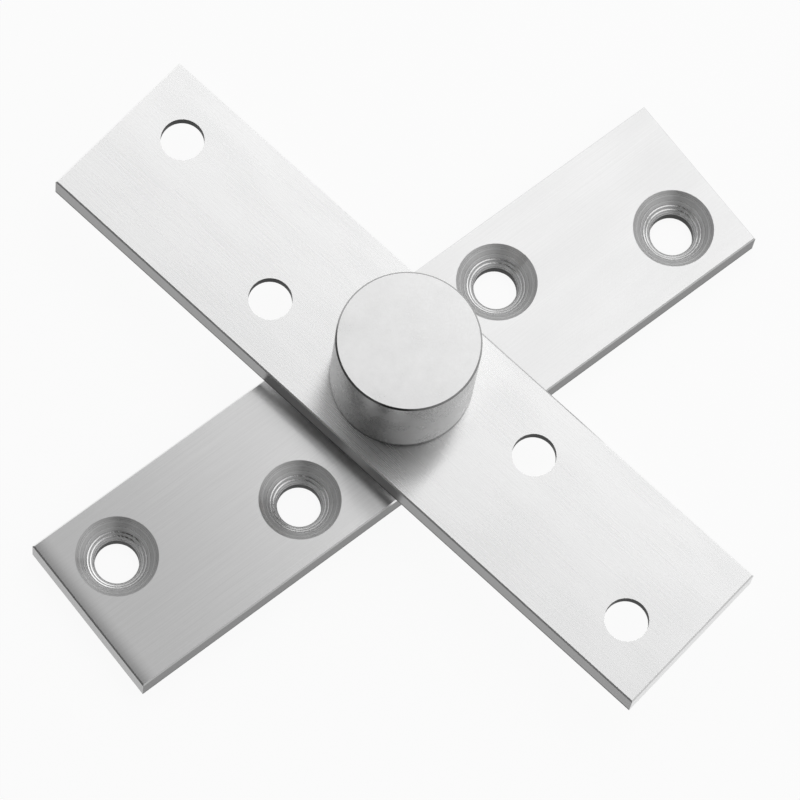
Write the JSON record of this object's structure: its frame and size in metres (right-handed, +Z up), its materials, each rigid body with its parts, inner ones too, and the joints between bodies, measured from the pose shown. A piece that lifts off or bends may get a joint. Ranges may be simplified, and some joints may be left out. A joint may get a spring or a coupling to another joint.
{
  "type": "pivot hinge",
  "caption": "Brushed steel door pivot hinge: crossed flat leaves with zigzag countersunk screw holes turn on a pin whose thrust bearing sits in a closed round cup.",
  "frame": {"origin": "on the pin's axis, at the underside of the pin leaf", "axes": "+Z up along the pin's axis, from the pin leaf to the cup; +X along the pin leaf"},
  "size_m": [0.13, 0.133, 0.0297],
  "materials": {
    "leaf_steel": "stainless, finely brushed along the leaf",
    "cup_steel": "stainless, turned to a satin",
    "pin_steel": "stainless, turned",
    "bearing_steel": "ground and polished bearing steel",
    "bronze": "turned bearing bronze",
    "brass": "stamped brass"
  },
  "bodies": {
    "pin_side": {"pin_leaf": "leaf_steel", "pivot_pin": "pin_steel", "spacer_washer": "bronze", "lower_race": "bearing_steel"},
    "cup_side": {"cup_leaf": "leaf_steel", "bearing_cup": "cup_steel", "sleeve_bush": "bronze", "upper_race": "bearing_steel"},
    "roller_set": {"roller_cage": "brass", "thrust_roller_01": "bearing_steel", "thrust_roller_02": "bearing_steel", "thrust_roller_03": "bearing_steel", "thrust_roller_04": "bearing_steel", "thrust_roller_05": "bearing_steel", "thrust_roller_06": "bearing_steel", "thrust_roller_07": "bearing_steel", "thrust_roller_08": "bearing_steel", "thrust_roller_09": "bearing_steel", "thrust_roller_10": "bearing_steel", "thrust_roller_11": "bearing_steel"}
  },
  "joints": [
    {"name": "leaf_swivel", "type": "hinge", "parent": "pin_side", "child": "cup_side", "pos_m": [0, 0, 0.0067], "axis": [0, 0, 1], "continuous": true},
    {"name": "cage_orbit", "type": "hinge", "parent": "pin_side", "child": "roller_set", "pos_m": [0, 0, 0.02408], "axis": [0, 0, 1], "continuous": true}
  ],
  "couplings": [
    {"joint": "cage_orbit", "follows": "leaf_swivel", "ratio": 0.5}
  ]
}
